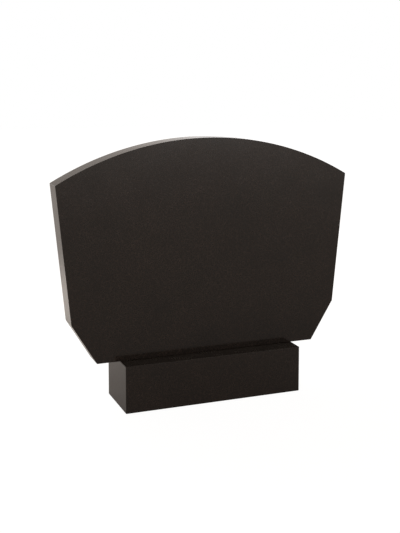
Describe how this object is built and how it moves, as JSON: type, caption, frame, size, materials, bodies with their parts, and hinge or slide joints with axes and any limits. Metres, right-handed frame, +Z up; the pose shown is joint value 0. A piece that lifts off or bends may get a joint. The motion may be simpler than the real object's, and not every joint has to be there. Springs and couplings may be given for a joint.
{
  "type": "headstone",
  "caption": "Upright family headstone of polished black stone: a broad slab with an arched top, tapering sides and cut-back foot, on an oblong plinth.",
  "frame": {"origin": "middle of the plinth's underside, where the headstone stands on its foundation", "axes": "+Z up, +X along the width to the right as seen from the front, -Y out of the front face"},
  "size_m": [0.9996, 0.2, 0.8503],
  "materials": {
    "plinth_stone": "polished",
    "slab_stone": "polished"
  },
  "bodies": {
    "root": {"plinth": "plinth_stone", "slab": "slab_stone"}
  },
  "joints": []
}
